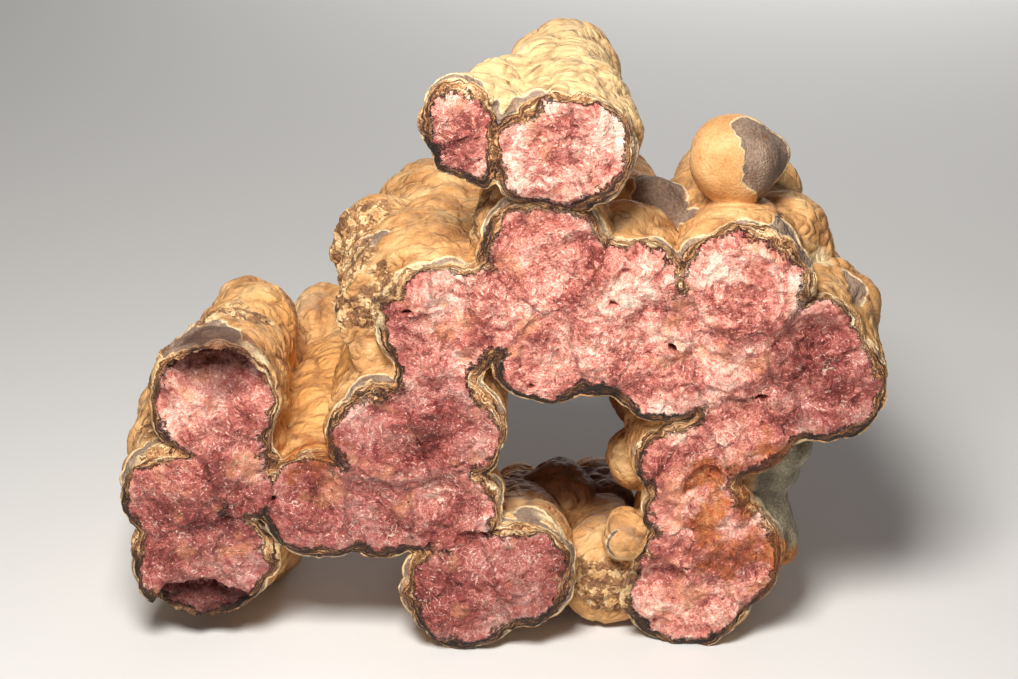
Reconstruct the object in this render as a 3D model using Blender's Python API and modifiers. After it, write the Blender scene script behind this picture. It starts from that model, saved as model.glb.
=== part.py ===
"""A cluster of rhodochrosite stalactites, broken across so that their pink cores show.

The stalactites lie side by side along +Y and have grown together into one piece, with a
hole through it. Their broken ends face -Y, their grown tips face +Y, and three of them
are its feet. Metres, +Z up. The origin is on the surface it stands on, in the middle of
its length and depth.
"""

from collections import namedtuple

import bmesh
import bpy
import numpy as np

MM = 0.001

# The middle of the piece's length and depth, measured from the place that x and y below
# are counted from: between the feet, at the plane of the break.
MIDDLE_X = -3.1
MIDDLE_Y = 63.4

# A stalactite's x and z are the middle of its broken end, front is how far that end
# stands behind the plane of the break, and drift is how far its middle moves from there
# to its tip, in mm. Radius is at the broken end, and tip just before the rounded tip.
Stalactite = namedtuple("Stalactite", "x z radius front length drift_x drift_z tip")
STALACTITES = {
    "top": Stalactite(15, 182, 20, -5, 76, 3, -2, 17),
    "top_right": Stalactite(22.3, 183, 18, -5, 72, -3, 0, 16),
    "top_left": Stalactite(-17.5, 194, 11.5, -6, 40, 14, -2, 9),
    "top_left_corner": Stalactite(-23, 199.5, 5, -5, 14, 6, -2, 3),
    "crown": Stalactite(11.5, 145, 21, 0, 112, 3, -3, 15),
    "shoulder": Stalactite(-30, 117, 25, 12, 104, 3, -2, 18),
    "shoulder_front": Stalactite(-22.5, 121, 21, 1, 90, 0, 0, 18),
    "roof": Stalactite(13.5, 113, 19, 0, 100, 0, 4, 14),
    "roof_right": Stalactite(30, 116, 19.5, 0, 110, 0, 2, 15),
    "saddle": Stalactite(39, 130, 19.5, 0, 112, -2, -2, 14),
    "arch_right": Stalactite(52, 106, 19, -1, 104, 0, 5, 14),
    "heart": Stalactite(74, 109, 21, 0, 118, -3, 3, 16),
    "right_crest": Stalactite(75.5, 133, 22.5, -2, 108, 2, -1, 17),
    "right_flank": Stalactite(106.5, 98.5, 18.5, 2, 96, -6, 5, 13),
    "right_flank_top": Stalactite(100, 114, 15.5, 3, 84, -3, 2, 12),
    "right_waist": Stalactite(78, 83, 17.5, 1, 98, -3, 2, 13),
    "left_hip": Stalactite(-38, 79.5, 21.5, -2, 114, 1, -2, 15),
    "left_hip_right": Stalactite(-23, 82.5, 21.5, -2, 118, 0, 4, 14),
    "left_knee": Stalactite(-21.5, 53.5, 18.5, 0, 84, -1, 2, 11),
    "channel_floor": Stalactite(-63.5, 54, 19.5, 0, 118, 2, 8, 15),
    "channel_floor_right": Stalactite(-45, 53.5, 17.5, 0, 112, 0, 6, 14),
    "left_neck": Stalactite(-90, 61.5, 12.5, 1, 96, 2, 2, 10),
    "left_bulge": Stalactite(-111, 58, 19, 0, 98, 3, 1, 15),
    "left_foot": Stalactite(-106, 32.5, 22, 1, 92, 14, -21, 15),
    "left_foot_right": Stalactite(-97, 34.5, 17, 3, 84, 12, -18, 13),
    "left_crest": Stalactite(-98, 91.5, 20.5, 2, 86, 5, -6, 12),
    "left_crest_low": Stalactite(-97.5, 85, 15.5, 1, 84, 6, -6, 11),
    "middle_foot": Stalactite(-15, 23.2, 21, -3, 100, 2, -14, 10.5),
    "middle_foot_right": Stalactite(2, 29.5, 19, -3, 92, 2, -16, 10),
    "right_knee": Stalactite(60.5, 70, 17.5, 1, 104, 2, 0, 13),
    "right_shin": Stalactite(62.5, 53.5, 17, 1, 104, 2, -2, 13),
    "right_foot": Stalactite(70, 34.5, 23, 2, 102, 2, -8, 14),
    "right_foot_low": Stalactite(61.5, 21.5, 21.5, 2, 96, 2, -13, 12),
    "threshold": Stalactite(34, 17, 14, 14, 84, -2, -4, 9),
    "top_left_low": Stalactite(-11.5, 183, 11.5, -5, 34, 10, 0, 8),
    "shoulder_inner": Stalactite(-4, 127, 17, 0, 98, 0, -2, 13),
    "flank_inner": Stalactite(91, 110, 15, 0, 96, -2, 0, 12),
    "heart_inner": Stalactite(57, 121, 15, 0, 104, 0, 0, 12),
    "shoulder_neck": Stalactite(-24, 100, 14, 0, 96, 0, 0, 12),
    "crest_neck": Stalactite(-92.5, 71, 14.5, 1, 88, 6, -2, 12),
    "waist_inner": Stalactite(91, 92, 13, 1, 90, -4, 0, 10),
    "top_join": Stalactite(-3.5, 189.5, 10, 0, 46, 4, -3, 8),
}

# Rounded knobs on the stalactites: x, y and z of the middle and the radius, in mm.
Knob = namedtuple("Knob", "x y z radius")
KNOBS = {
    "ball": Knob(75, 34, 166, 15),
    "ball_side": Knob(84.5, 40, 165, 8.5),
    "crest_side": Knob(91, 42, 133, 17),
    "crest_back": Knob(82, 70, 137, 18.5),
    "flank_side": Knob(106.3, 32, 111, 18),
    "saddle_front": Knob(38, 20, 146, 10),
    "saddle_back": Knob(48, 46, 140, 14),
    "crown_side": Knob(28, 48, 143, 14),
    "shoulder_side": Knob(-40, 62, 120, 19),
    "channel_end": Knob(-66, 112, 72, 14),
    "channel_end_right": Knob(-52, 114, 74, 13),
    "crest_end": Knob(-88, 72, 93, 12),
    "left_side": Knob(-113, 66, 60, 17),
    "hole_side": Knob(48, 52, 74, 13),
    "hole_side_low": Knob(45, 30, 58, 10),
    "hole_egg": Knob(41, 9, 39, 8),
    "threshold_front": Knob(33, 24, 18, 14),
    "waist_rock": Knob(80, 26, 61, 15),
    "threshold_back": Knob(19, 68, 24, 12),
    "shoulder_knob": Knob(-46, 62, 128, 12),
    "slab_top": Knob(94, 20, 68, 9),
    "slab_waist": Knob(86, 24, 50, 9),
    "slab_low": Knob(91, 20, 33, 9),
    "foot_side": Knob(-89, 54, 13, 14),
    "slab_upper": Knob(90, 22, 59, 9.5),
    "slab_lower": Knob(88, 22, 41, 9),
}

# Hollows in the break: x and z of the middle, half the width and half the height, and
# the depth, in mm.
Hollow = namedtuple("Hollow", "x z half_width half_height depth")
HOLLOWS = {
    "left_crest": Hollow(-98, 100, 15.5, 10, 13),
    "left_foot": Hollow(-105, 16.5, 16, 8, 10),
    "middle_notch": Hollow(-10, 41, 9, 5, 3),
    "right_foot": Hollow(50, 24, 10, 9, 5),
    "right_waist": Hollow(66, 60, 8, 9, 3),
}

SIDES = 24  # of a stalactite's cross-section
RINGS = 12  # along a stalactite, before its rounded tip
TIP_RINGS = 5
WANDER = 1.6  # mm, how far a stalactite's middle strays from a straight line
SWELL = 0.05  # how much its radius grows and shrinks along it, as a part of the radius
VOXEL = 2.2  # mm, of the mesh that all the stalactites are joined in
LUMP_SIZE = np.array((15.0, 8.5, 15.0))  # mm, of a lump of the skin along x, y and z
LUMP_HEIGHT = 2.6  # mm
CRYSTAL_SIZE = np.array((9.0, 30.0, 9.0))  # mm, of a facet of the break
CRYSTAL_HEIGHT = 3.2  # mm
BREAK_FACING = -0.75  # faces whose normal has a y below this belong to the break
FACES = 9600
LUMP_SEED = 11
CRYSTAL_SEED = 5
SHARP_ANGLE = np.radians(30)


def clear_scene():
    for obj in list(bpy.data.objects):
        bpy.data.objects.remove(obj)


def new_collection(name):
    collection = bpy.data.collections.new(name)
    bpy.context.scene.collection.children.link(collection)
    return collection


def middle_and_radius(stalactite, t):
    """A stalactite's middle and radius at t, from 0 at the break to 1 before its tip."""
    s = stalactite
    sway_x = np.sin(6 * t + s.z) - np.sin(s.z)
    sway_z = np.sin(5 * t + s.x) - np.sin(s.x)
    swelling = 1 + SWELL * (np.sin(9 * t + s.x + s.z) - np.sin(s.x + s.z))
    x = s.x + s.drift_x * t + WANDER * sway_x * t
    z = s.z + s.drift_z * t + WANDER * sway_z * t
    radius = (s.radius + (s.tip - s.radius) * t ** 2) * swelling
    return (x, s.front + s.length * t, z), radius


def rings_of(stalactite):
    """The middle and radius of each ring of a stalactite, its rounded tip included."""
    rings = [middle_and_radius(stalactite, i / RINGS) for i in range(RINGS + 1)]
    (x, y, z), radius = rings[-1]
    for i in range(1, TIP_RINGS + 1):
        angle = 0.5 * np.pi * i / (TIP_RINGS + 0.3)
        rings.append(((x, y + radius * np.sin(angle), z), radius * np.cos(angle)))
    return rings


def placed(x, y, z):
    """A point of the tables in metres, measured from the origin."""
    return (x - MIDDLE_X) * MM, (y - MIDDLE_Y) * MM, z * MM


def evaluated_mesh(obj):
    graph = bpy.context.evaluated_depsgraph_get()
    return bpy.data.meshes.new_from_object(obj.evaluated_get(graph))


def stalactite_mesh(stalactite):
    """A tube with a flat broken end and a rounded tip."""
    curve = bpy.data.curves.new("stalactite", "CURVE")
    curve.dimensions = "3D"
    curve.bevel_depth = MM
    curve.bevel_resolution = SIDES // 4 - 1
    curve.use_fill_caps = True
    spline = curve.splines.new("POLY")
    rings = rings_of(stalactite)
    spline.points.add(len(rings) - 1)
    for point, (middle, radius) in zip(spline.points, rings):
        point.co = (*placed(*middle), 1)
        point.radius = radius
    guide = bpy.data.objects.new("stalactite", curve)
    bpy.context.scene.collection.objects.link(guide)
    mesh = evaluated_mesh(guide)
    bpy.data.objects.remove(guide)
    return mesh


def all_stalactites():
    """The stalactites and knobs in one mesh, where they still cross each other."""
    joined = bmesh.new()
    for stalactite in STALACTITES.values():
        joined.from_mesh(stalactite_mesh(stalactite))
    for knob in KNOBS.values():
        ball = bmesh.ops.create_icosphere(joined, subdivisions=3, radius=knob.radius * MM)
        middle = placed(knob.x, knob.y, knob.z)
        bmesh.ops.translate(joined, verts=ball["verts"], vec=middle)
    bmesh.ops.remove_doubles(joined, verts=joined.verts, dist=0.01 * MM)
    mesh = bpy.data.meshes.new("stalactite_cluster")
    joined.to_mesh(mesh)
    joined.free()
    return mesh


def cell_noise(cells, seed):
    """Three numbers from 0 to 1 for each whole-number cell, always the same for a seed."""
    a, b, c = (cells[..., i].astype(np.int64) for i in range(3))
    mixed = (a * 73856093) ^ (b * 19349663) ^ (c * 83492791) ^ (seed * 40503)
    numbers = []
    for step in (2654435761, 2246822519, 3266489917):
        mixed = (mixed * step + 374761393) & 0xFFFFFFFF
        mixed ^= mixed >> 15
        numbers.append(mixed / 0x100000000)
    return np.stack(numbers, axis=-1)


def nearest_seed(points, seed):
    """The distance from each point to the nearest of the seeds scattered one to a unit
    cell, with that seed's place and its cell."""
    base = np.floor(points)
    nearest = np.full(len(points), np.inf)
    place = np.zeros_like(points)
    cell = np.zeros_like(points)
    steps = (-1, 0, 1)
    for step in ((i, j, k) for i in steps for j in steps for k in steps):
        near = base + step
        spot = near + cell_noise(near, seed)
        away = np.sum((points - spot) ** 2, axis=1)
        closer = away < nearest
        nearest[closer] = away[closer]
        place[closer] = spot[closer]
        cell[closer] = near[closer]
    return np.sqrt(nearest), place, cell


def lumps(points):
    """How far the skin bulges at each point, in mm: domes that meet in creases."""
    away, _, cell = nearest_seed(points / LUMP_SIZE, LUMP_SEED)
    size = 0.55 + 0.45 * cell_noise(cell, LUMP_SEED + 1)[:, 0]
    return LUMP_HEIGHT * size * (1 - np.minimum(away / 0.8, 1) ** 2)


def crystals(points):
    """The relief of the break at each point, in mm: flat facets with steps between."""
    scaled = points / CRYSTAL_SIZE
    _, place, cell = nearest_seed(scaled, CRYSTAL_SEED)
    lean = cell_noise(cell, CRYSTAL_SEED + 1) - 0.5
    slope = np.sum((scaled - place)[:, [0, 2]] * lean[:, [0, 2]], axis=1)
    return CRYSTAL_HEIGHT * (lean[:, 1] + 1.5 * slope)


def hollows(points):
    """How far the break lies back at each point, in mm, in its hollows. They go in
    steeply under their upper edge, and slope out below."""
    depth = np.zeros(len(points))
    for hollow in HOLLOWS.values():
        across = (points[:, 0] - hollow.x) / hollow.half_width
        up = (points[:, 2] - hollow.z) / hollow.half_height
        inside = np.clip(1 - across ** 2 - up ** 2, 0, 1)
        depth = np.maximum(depth, hollow.depth * (0.7 + 0.7 * up) * inside ** 0.25)
    return depth


def carve(mesh):
    """Raises the skin's lumps and the relief of the break by moving the mesh's points."""
    count = len(mesh.vertices)
    points = np.empty(count * 3, np.float32)
    normals = np.empty(count * 3, np.float32)
    mesh.vertices.foreach_get("co", points)
    mesh.vertices.foreach_get("normal", normals)
    points = points.reshape(-1, 3) / MM + (MIDDLE_X, MIDDLE_Y, 0)
    normals = normals.reshape(-1, 3)
    broken = normals[:, 1] < BREAK_FACING
    outward = np.where(broken, 0, lumps(points))
    back = np.where(broken, crystals(points) + hollows(points), 0)
    points += outward[:, None] * normals
    points[:, 1] += back
    points = (points - (MIDDLE_X, MIDDLE_Y, 0)) * MM
    mesh.vertices.foreach_set("co", points.astype(np.float32).ravel())
    mesh.update()


def stone(name, colour):
    material = bpy.data.materials.new(name)
    material.use_nodes = True
    shader = material.node_tree.nodes["Principled BSDF"]
    shader.inputs["Base Color"].default_value = (*colour, 1)
    shader.inputs["Roughness"].default_value = 0.65
    shader.inputs["Metallic"].default_value = 0
    return material


def colour_faces(mesh):
    """The ochre skin everywhere, and pink stone on the break."""
    mesh.materials.append(stone("ochre_skin", (0.55, 0.33, 0.15)))
    mesh.materials.append(stone("pink_core", (0.62, 0.27, 0.27)))
    for face in mesh.polygons:
        face.material_index = int(face.normal.y < BREAK_FACING)


def add_modifier(obj, kind, **settings):
    made = obj.modifiers.new(kind.title(), kind)
    for name, value in settings.items():
        setattr(made, name, value)


def floor_block():
    """A block under the surface that the piece stands on, which makes its feet flat."""
    mesh = bpy.data.meshes.new("floor")
    block = bmesh.new()
    bmesh.ops.create_cube(block, size=0.5)
    bmesh.ops.translate(block, verts=block.verts, vec=(0, 0, -0.25))
    block.to_mesh(mesh)
    block.free()
    floor = bpy.data.objects.new("floor", mesh)
    floor.display_type = "WIRE"
    floor.hide_render = True
    new_collection("cutters").objects.link(floor)
    return floor


def stalactite_cluster():
    cluster = bpy.data.objects.new("stalactite_cluster", all_stalactites())
    new_collection("rhodochrosite").objects.link(cluster)
    add_modifier(cluster, "REMESH", mode="VOXEL", voxel_size=VOXEL * MM)
    add_modifier(cluster, "SMOOTH", factor=0.5, iterations=3)
    cluster.data = evaluated_mesh(cluster)
    cluster.modifiers.clear()
    carve(cluster.data)
    colour_faces(cluster.data)
    cluster.data.shade_smooth()
    cluster.data.set_sharp_from_angle(angle=SHARP_ANGLE)
    two_triangles_each = 2 * len(cluster.data.polygons)
    add_modifier(cluster, "DECIMATE", ratio=FACES / two_triangles_each)
    add_modifier(cluster, "BOOLEAN", operation="DIFFERENCE", object=floor_block())


clear_scene()
stalactite_cluster()
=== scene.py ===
"""Looks of the rhodochrosite stalactite cluster.

The stone is one closed mesh, taken from a field that says how far each point lies inside
the stalactites. Its points carry how deep they lie under the skin, which gives the rind
its layers, and their offset from the middle of their growth, which gives the pink core
its bands and fibres. Millimetres up to the point where the mesh is made.
"""

from collections import namedtuple
from functools import reduce

import bmesh
import bpy
import numpy as np
from mathutils import Matrix, Vector

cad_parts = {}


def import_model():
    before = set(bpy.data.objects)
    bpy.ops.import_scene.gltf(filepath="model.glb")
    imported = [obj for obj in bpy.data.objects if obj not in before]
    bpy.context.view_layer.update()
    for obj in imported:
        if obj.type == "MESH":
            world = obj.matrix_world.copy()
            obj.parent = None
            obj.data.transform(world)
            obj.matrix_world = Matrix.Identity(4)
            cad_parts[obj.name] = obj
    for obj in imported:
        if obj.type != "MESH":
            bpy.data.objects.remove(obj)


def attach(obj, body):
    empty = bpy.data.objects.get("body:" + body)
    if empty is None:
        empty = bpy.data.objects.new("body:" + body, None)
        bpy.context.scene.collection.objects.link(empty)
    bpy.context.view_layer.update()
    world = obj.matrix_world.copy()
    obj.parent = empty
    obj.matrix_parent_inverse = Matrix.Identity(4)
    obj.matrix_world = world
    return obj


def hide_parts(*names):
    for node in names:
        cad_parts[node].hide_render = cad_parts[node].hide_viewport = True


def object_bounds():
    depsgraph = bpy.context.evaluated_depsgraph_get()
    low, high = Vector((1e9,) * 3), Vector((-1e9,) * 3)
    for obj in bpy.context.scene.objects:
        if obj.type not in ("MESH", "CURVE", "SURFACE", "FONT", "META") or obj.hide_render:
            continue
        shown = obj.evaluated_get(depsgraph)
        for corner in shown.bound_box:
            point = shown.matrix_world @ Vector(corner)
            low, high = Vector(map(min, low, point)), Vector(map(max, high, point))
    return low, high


MM = 0.001


def rows(kind, table):
    """A table, with names for its columns."""
    return {name: kind(*row) for name, row in table.items()}


# The middle of the piece's length and depth, measured from the place that x and y below
# are counted from: between the feet, at the plane of the break.
MIDDLE_X = -3.1
MIDDLE_Y = 63.4

# A stalactite's x and z are the middle of its broken end, front is how far that end
# stands behind the plane of the break, and drift is how far its middle moves from there
# to its tip, in mm. Radius is at the broken end, and tip just before the rounded tip.
Stalactite = namedtuple("Stalactite", "x z radius front length drift_x drift_z tip")
STALACTITES = rows(Stalactite, {
    "top": (15, 182, 20, -5, 76, 3, -2, 17),
    "top_right": (22.3, 183, 18, -5, 72, -3, 0, 16),
    "top_left": (-17.5, 194, 11.5, -6, 40, 14, -2, 9),
    "top_left_corner": (-23, 199.5, 5, -5, 14, 6, -2, 3),
    "crown": (11.5, 145, 21, 0, 112, 3, -3, 15),
    "shoulder": (-30, 117, 25, 12, 104, 3, -2, 18),
    "shoulder_front": (-22.5, 121, 21, 1, 90, 0, 0, 18),
    "roof": (13.5, 113, 19, 0, 100, 0, 4, 14),
    "roof_right": (30, 116, 19.5, 0, 110, 0, 2, 15),
    "saddle": (39, 130, 19.5, 0, 112, -2, -2, 14),
    "arch_right": (52, 106, 19, -1, 104, 0, 5, 14),
    "heart": (74, 109, 21, 0, 118, -3, 3, 16),
    "right_crest": (75.5, 133, 22.5, -2, 108, 2, -1, 17),
    "right_flank": (106.5, 98.5, 18.5, 2, 96, -6, 5, 13),
    "right_flank_top": (100, 114, 15.5, 3, 84, -3, 2, 12),
    "right_waist": (78, 83, 17.5, 1, 98, -3, 2, 13),
    "left_hip": (-38, 79.5, 21.5, -2, 114, 1, -2, 15),
    "left_hip_right": (-23, 82.5, 21.5, -2, 118, 0, 4, 14),
    "left_knee": (-21.5, 53.5, 18.5, 0, 84, -1, 2, 11),
    "channel_floor": (-63.5, 54, 19.5, 0, 118, 2, 8, 15),
    "channel_floor_right": (-45, 53.5, 17.5, 0, 112, 0, 6, 14),
    "left_neck": (-90, 61.5, 12.5, 1, 96, 2, 2, 10),
    "left_bulge": (-111, 58, 19, 0, 98, 3, 1, 15),
    "left_foot": (-106, 32.5, 22, 1, 92, 14, -21, 15),
    "left_foot_right": (-97, 34.5, 17, 3, 84, 12, -18, 13),
    "left_crest": (-98, 91.5, 20.5, 2, 86, 5, -6, 12),
    "left_crest_low": (-97.5, 85, 15.5, 1, 84, 6, -6, 11),
    "middle_foot": (-15, 23.2, 21, -3, 100, 2, -14, 10.5),
    "middle_foot_right": (2, 29.5, 19, -3, 92, 2, -16, 10),
    "right_knee": (60.5, 70, 17.5, 1, 104, 2, 0, 13),
    "right_shin": (62.5, 53.5, 17, 1, 104, 2, -2, 13),
    "right_foot": (70, 34.5, 23, 2, 102, 2, -8, 14),
    "right_foot_low": (61.5, 21.5, 21.5, 2, 96, 2, -13, 12),
    "threshold": (34, 17, 14, 14, 84, -2, -4, 9),
    "top_left_low": (-11.5, 183, 11.5, -5, 34, 10, 0, 8),
    "shoulder_inner": (-4, 127, 17, 0, 98, 0, -2, 13),
    "flank_inner": (91, 110, 15, 0, 96, -2, 0, 12),
    "heart_inner": (57, 121, 15, 0, 104, 0, 0, 12),
    "shoulder_neck": (-24, 100, 14, 0, 96, 0, 0, 12),
    "crest_neck": (-92.5, 71, 14.5, 1, 88, 6, -2, 12),
    "waist_inner": (91, 92, 13, 1, 90, -4, 0, 10),
    "top_join": (-3.5, 189.5, 10, 0, 46, 4, -3, 8),
})

# Rounded knobs on the stalactites: x, y and z of the middle and the radius, in mm.
Knob = namedtuple("Knob", "x y z radius")
KNOBS = rows(Knob, {
    "ball": (75, 34, 166, 15),
    "ball_side": (84.5, 40, 165, 8.5),
    "crest_side": (91, 42, 133, 17),
    "crest_back": (82, 70, 137, 18.5),
    "flank_side": (106.3, 32, 111, 18),
    "saddle_front": (38, 20, 146, 10),
    "saddle_back": (48, 46, 140, 14),
    "crown_side": (28, 48, 143, 14),
    "shoulder_side": (-40, 62, 120, 19),
    "channel_end": (-66, 112, 72, 14),
    "channel_end_right": (-52, 114, 74, 13),
    "crest_end": (-88, 72, 93, 12),
    "left_side": (-113, 66, 60, 17),
    "hole_side": (48, 52, 74, 13),
    "hole_side_low": (45, 30, 58, 10),
    "hole_egg": (41, 9, 39, 8),
    "threshold_front": (33, 24, 18, 14),
    "waist_rock": (80, 26, 61, 15),
    "threshold_back": (19, 68, 24, 12),
    "shoulder_knob": (-46, 62, 128, 12),
    "slab_top": (94, 20, 68, 9),
    "slab_waist": (86, 24, 50, 9),
    "slab_low": (91, 20, 33, 9),
    "foot_side": (-89, 54, 13, 14),
    "slab_upper": (90, 22, 59, 9.5),
    "slab_lower": (88, 22, 41, 9),
})

# Hollows in the break: x and z of the middle, half the width and half the height, and
# the depth, in mm.
Hollow = namedtuple("Hollow", "x z half_width half_height depth")
HOLLOWS = rows(Hollow, {
    "left_crest": (-98, 100, 15.5, 10, 13),
    "left_foot": (-105, 16.5, 16, 8, 10),
    "middle_notch": (-10, 41, 9, 5, 3),
    "right_foot": (50, 24, 10, 9, 5),
    "right_waist": (66, 60, 8, 9, 3),
})
WANDER = 1.6  # mm, how far a stalactite's middle strays from a straight line
SWELL = 0.05  # how much its radius grows and shrinks along it, as a part of the radius
LUMP_SIZE = np.array((15.0, 8.5, 15.0))  # mm, of a lump of the skin along x, y and z
LUMP_HEIGHT = 2.6  # mm
LUMP_SEED = 11

CELL = 0.75  # mm, of the grid that the mesh is taken from
TRIANGLES = 195_000
PHOTO_WIDTH = 1018  # pixels
MM_PER_PIXEL = 0.327  # at the middle of the view
DISTANCE = 900  # mm, from the camera to what it aims at
TILT = 24  # degrees, how far the camera looks down
AIM_HEIGHT = 116.2  # mm
SENSOR = 36  # mm
LOW = np.array((-137.0, -14.0, -3.0))  # mm, the grid's corners
HIGH = np.array((130.0, 144.0, 211.0))
FAR = 9.0  # mm, the distance given to everything further outside the stone
BLEND = 3.0  # mm, how far two stalactites round the crease between them
# These stalactites end in skin at the front, where the break missed them.
ENDS_IN_SKIN = ("shoulder", "threshold", "top_join")
BEND = 1.8  # mm, how far the growth bands stray from circles
CHAMFER = 3.2  # mm, how deep under the skin the rim of the break is worn back
LAYER = 0.9  # mm, the thickness of the layers that the worn rim steps down in
STEP = 1.5  # mm, the rise of the steps in the break
# The facets of the break: their size in mm, tilt, step in mm, and a seed.
Facet = namedtuple("Facet", "size tilt step seed")
FACETS = rows(Facet, {
    "coarse": (11.0, 0.24, 0.7, 31),
    "middling": (4.6, 0.17, 0.25, 33),
    "fine": (2.3, 0.18, 0.08, 35),
})
RING = 3.8  # mm, the width of a growth band
FINE_RING = 1.0  # mm
RING_HEIGHT = 0.3  # mm, of the ridges along the bands
SMALL_GRAIN = 1.5  # mm, of the core's crystals
LARGE_GRAIN = 3.4  # mm
FIBRE_COUNT = 9.0  # of the fibres around a growth, where more is finer
FIBRE_LENGTH = 6.0  # mm
SHARP = 35  # degrees, from where on an edge of the mesh is drawn sharp
PILLOW_SIZE = np.array((6.5, 4.6, 6.5))  # mm, of the small swellings on the lumps
PILLOW_HEIGHT = 1.5  # mm
RIPPLE = 5.2  # mm, between the ripples that run round the stalactites
RIPPLE_HEIGHT = 0.6  # mm
FLAKE = 0.8  # mm, the thickness of the outer skin where it has come off
REACH = 7.0  # mm, how deep under the skin its relief still shifts the stone
DEEPEST = 16.0  # mm, where nothing is left of that shift
CORE = 0.8  # mm, the least depth that the growth bands are worked out for
VUG_SLOPE = 0.6  # mm, how soft the edge of a vug is
SEAM_DEPTH = 0.8  # mm

# The places of a Mix node's colours among its sockets.
COLOUR_A = 6
COLOUR_B = 7
COLOUR_RESULT = 2

# Strands are thinner growths inside the stalactites: the x and z of each one's middle and
# how much further than their real distance the growth bands reach, in mm.
Strand = namedtuple("Strand", "x z reach")
STRANDS = rows(Strand, {
    "crown_core": (11.7, 133.8, 8),
    "shoulder_core": (-20, 120, 9),
    "roof_core": (15, 105, 8),
    "heart_core": (50, 100, 8),
    "crest_core": (77, 134, 10),
    "flank_core": (74, 113, 9),
    "bulge_core": (-104, 61, 9),
    "floor_core": (-67, 53, 8),
    "hip_core": (-43, 61, 7),
    "saddle_core": (38, 122, 7),
    "foot_core": (-2, 33, 7),
})

# Seams of rind between stalactites in the break: the x and z of both ends and half the
# width, in mm.
Seam = namedtuple("Seam", "x z end_x end_z half_width")
SEAMS = rows(Seam, {
    "wedge": (-5.6, 203, -4.4, 172, 1.6),
    "heart": (42, 86, 50, 86, -0.2),
})

# Small open pits in the break: x and z of the middle, half the width and half the height,
# the depth, in mm, and how far it is turned, in degrees.
Vug = namedtuple("Vug", "x z half_width half_height depth turn")
VUGS = rows(Vug, {
    "heart": (53.4, 112.4, 2.3, 1.1, 7, -35),
    "waist": (83.9, 93.6, 1.7, 0.8, 6, 20),
    "roof": (7.9, 99.8, 1.0, 1.6, 4, 0),
    "roof_low": (3.0, 95.0, 1.3, 0.7, 4, 30),
    "shoulder": (-33.0, 125.0, 1.5, 0.8, 4, 10),
    "saddle": (34.0, 128.5, 1.4, 0.7, 4, -20),
    "floor": (-78.0, 58.0, 1.8, 0.8, 4, 15),
})

# Spots on the stone: x, y and z of the middle and the radius, in mm.
Spot = namedtuple("Spot", "x y z radius")
SMOOTH_SPOTS = rows(Spot, {
    "ball": (76, 32, 168, 17),
    "slab_top": (96, 22, 67, 13),
    "slab_low": (94, 22, 42, 12),
})
BARE_SPOTS = rows(Spot, {
    "ball": (91, 24, 171, 18),
    "beside_ball": (52, 42, 147, 11),
    "left_crest": (-103, 16, 113, 17),
    "left_crest_back": (-108, 30, 108, 12),
    "shoulder": (-47, 30, 132, 9),
    "middle_foot": (9, 9, 46, 6),
    "right_crest": (90, 4, 147, 9),
    "channel_end": (-66, 100, 86, 6),
    "flank_chip": (113, 24, 124, 4),
    "wedge_edge": (-10, 0, 203, 5),
})
CREAM_SPOTS = rows(Spot, {
    "top_chip": (6, 10, 202, 4),
    "top_chip_back": (4, 56, 198, 4),
    "middle_foot": (14, 8, 43, 6),
    "saddle_edge": (41, 6, 139, 5),
    "flank_chip": (103, 30, 130, 5),
    "crest_edge": (-84, 6, 105, 5),
    "channel_edge": (-62, 2, 73, 5),
})
CRUST_SPOTS = rows(Spot, {
    "shoulder": (-50, 24, 124, 18),
    "shoulder_back": (-54, 52, 126, 17),
    "shoulder_edge": (-42, 6, 128, 12),
    "left_crest": (-98, 44, 108, 13),
    "left_crest_side": (-118, 24, 98, 12),
    "left_side": (-122, 20, 76, 13),
    "right_foot": (34, 8, 20, 13),
    "left_foot": (-112, 8, 14, 14),
    "crown": (-6, 16, 152, 8),
})
STAIN_SPOTS = rows(Spot, {
    "waist": (86, 0, 77, 9),
    "neck": (72, 0, 67, 12),
    "shin": (72, 0, 52, 12),
    "foot": (76, 0, 38, 11),
    "channel_edge": (-68, 2, 72, 9),
    "foot_edge": (93, 8, 32, 12),
})
SLAB_SPOTS = rows(Spot, {
    "top": (95, 17, 69, 14),
    "middle": (92, 18, 57, 13),
    "low": (95, 18, 44, 12),
})
PALE_SPOTS = rows(Spot, {
    "top": (14, 30, 200, 40),
    "top_left": (-16, 10, 200, 26),
})
# Painted bounce light: the skin in the channel is painted a warmer orange, as light reflected
# between its walls.
ORANGE_BOUNCE_SPOTS = rows(Spot, {
    "channel": (-62, 50, 80, 34),
})
# Darker mauve on the lower lobes, the wedge, the right flank, the shoulder's edge and the left
# crest's hollow: partly the pink's own duskier tone and partly painted shade, where the light
# falls off and under overhangs.
DUSKY_AND_SHADE_SPOTS = rows(Spot, {
    "floor": (-66, 0, 54, 42),
    "left_foot": (-106, 0, 26, 38),
    "hip": (-30, 0, 84, 26),
    "wedge": (-20, 0, 188, 9),
    "middle_foot": (-8, 0, 24, 34),
    "flank": (108, 0, 98, 26),
    "left_crest_hollow": (-98, 8, 107, 15),
    "shoulder_edge": (-42, 0, 128, 12),
})
# Painted shade: darker spots where shadow falls, in the left crest's hollow, on the left foot, in
# the gap beside the left crest and inside the hole.
PAINTED_SHADE_SPOTS = rows(Spot, {
    "left_crest": (-97, 10, 105, 12),
    "left_foot": (-105, 4, 12, 15),
    "left_gap": (-119, 20, 80, 7),
    "hole": (26, 76, 62, 44),
})
WORN_SPOTS = rows(Spot, {
    "right_crest": (84, 0, 150, 18),
    "saddle": (38, 0, 142, 10),
    "wedge": (-15, 0, 202, 12),
    "left_foot": (-110, 0, 14, 12),
    "shoulder": (-46, 0, 124, 10),
})


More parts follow.
